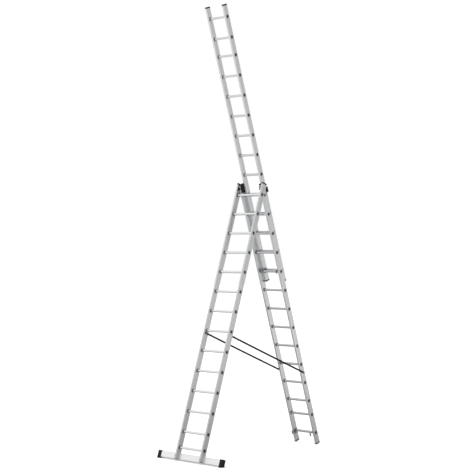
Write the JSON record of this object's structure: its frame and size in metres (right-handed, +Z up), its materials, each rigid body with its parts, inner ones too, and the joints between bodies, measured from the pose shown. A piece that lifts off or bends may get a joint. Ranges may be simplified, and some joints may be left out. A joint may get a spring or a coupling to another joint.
{
  "type": "three-section combination ladder",
  "caption": "Aluminium combination ladder standing as an A-frame with its third section extended above the hinge, a crossbar foot and webbing spreader straps.",
  "frame": {"origin": "on the floor below the hinge pins, at the middle of the footprint", "axes": "+Z up, +X along the rungs, -Y towards the front section with the stabiliser, +Y towards the middle section"},
  "size_m": [1.2, 2.5162, 6.1186],
  "materials": {
    "stile_aluminium": "satin",
    "rung_aluminium": "satin",
    "bar_aluminium": "satin",
    "black_plastic": "matte",
    "black_rubber": "matte",
    "zinc_steel": "satin",
    "aluminium_rivet": "satin",
    "hook_steel": "satin",
    "strap_webbing": "woven"
  },
  "bodies": {
    "front_section": {"front_stile_left": "stile_aluminium", "front_stile_right": "stile_aluminium", "front_rungs": "rung_aluminium", "front_rung_plugs": "black_plastic", "front_top_caps": "black_plastic", "front_foot_plugs": "black_plastic", "stabiliser_bar": "bar_aluminium", "stabiliser_foot_left": "black_rubber", "stabiliser_foot_right": "black_rubber", "stabiliser_bolts": "zinc_steel", "stabiliser_nuts": "zinc_steel", "front_hinge_plates": "zinc_steel", "front_hinge_rivets": "aluminium_rivet", "hinge_buffers": "black_plastic", "strap_left": "strap_webbing", "strap_right": "strap_webbing", "front_strap_anchors": "zinc_steel"},
    "middle_section": {"middle_stile_left": "stile_aluminium", "middle_stile_right": "stile_aluminium", "middle_rungs": "rung_aluminium", "middle_rung_plugs": "black_plastic", "middle_top_caps": "black_plastic", "middle_feet": "black_rubber", "middle_hinge_plates": "zinc_steel", "middle_hinge_rivets": "aluminium_rivet", "hinge_pins": "zinc_steel", "guide_left": "black_plastic", "guide_right": "black_plastic", "guide_screws": "zinc_steel", "middle_hook_left": "hook_steel", "middle_hook_right": "hook_steel", "middle_hook_rivets": "aluminium_rivet", "middle_strap_anchors": "zinc_steel"},
    "upper_section": {"upper_stile_left": "stile_aluminium", "upper_stile_right": "stile_aluminium", "upper_rungs": "rung_aluminium", "upper_rung_plugs": "black_plastic", "upper_top_caps": "black_plastic", "upper_bottom_caps": "black_plastic", "upper_hook_left": "hook_steel", "upper_hook_right": "hook_steel", "upper_hook_rivets": "aluminium_rivet"}
  },
  "joints": [
    {"name": "fold", "type": "hinge", "parent": "front_section", "child": "middle_section", "pos_m": [0, 0, 3.5946], "axis": [-1, 0, 0], "range_deg": [0, 35.8], "deforming": ["strap_left", "strap_right"]},
    {"name": "upper_slide", "type": "slide", "parent": "middle_section", "child": "upper_section", "axis": [0, -0.314, 0.9494], "range_m": [-2.457, 0]}
  ]
}
